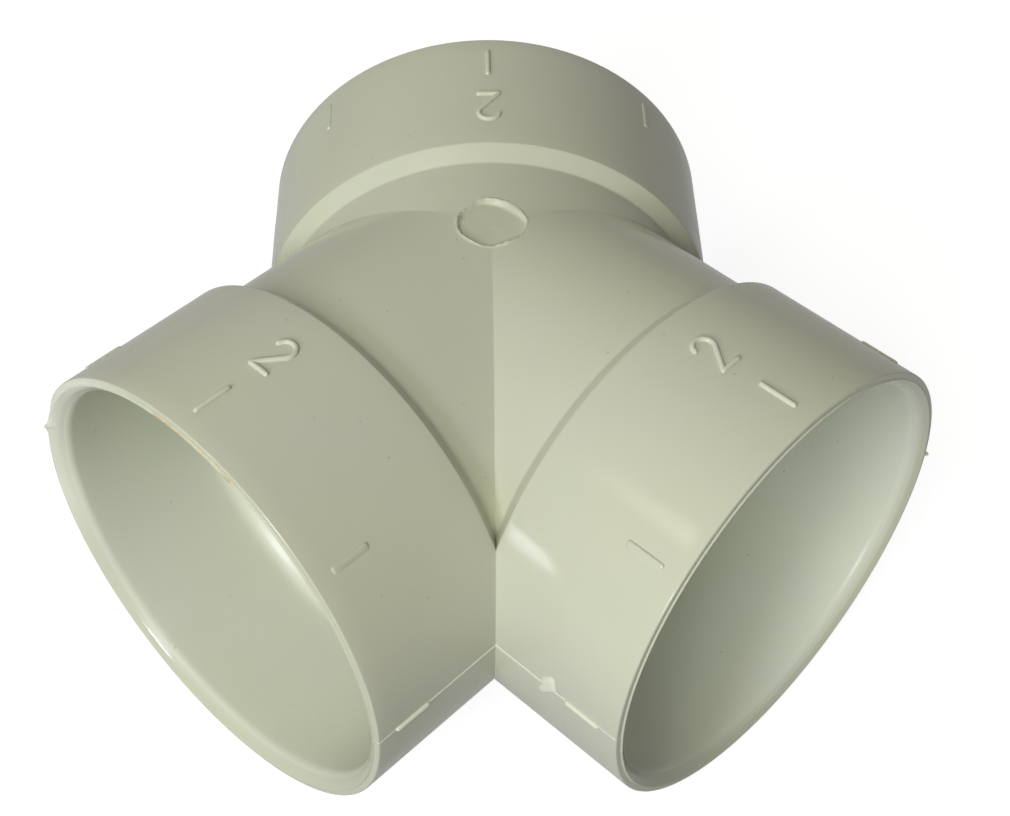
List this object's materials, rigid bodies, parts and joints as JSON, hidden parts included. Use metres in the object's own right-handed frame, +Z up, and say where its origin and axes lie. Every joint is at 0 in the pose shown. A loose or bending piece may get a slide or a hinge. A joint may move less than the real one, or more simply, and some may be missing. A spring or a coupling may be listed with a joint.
{
  "type": "three-way elbow",
  "caption": "Three-way elbow in off-white plastic: a short stem socket and two side sockets turned 45 degrees, for thin-walled two-inch tubing, with alignment ticks and a raised 2",
  "frame": {"origin": "On the stem's axis, at the step inside its socket where the tube bottoms. The three axes lie in the plane z = 0 and cross 12.9 mm further in, at y = -12.9 mm.", "axes": "+Y points out of the stem's mouth. The side arms point to -X -Y and +X -Y, each 45 degrees off the stem's line. +Z is up: the face with the sprue mark and the digits is on top, and the part lies on its lower ticks."},
  "size_m": [0.1036, 0.0838, 0.0564],
  "materials": {
    "moulded_plastic": "off-white moulded plastic, semi-gloss, slightly greenish grey, with fine scratches"
  },
  "bodies": {
    "root": {"elbow": "moulded_plastic"}
  },
  "joints": []
}
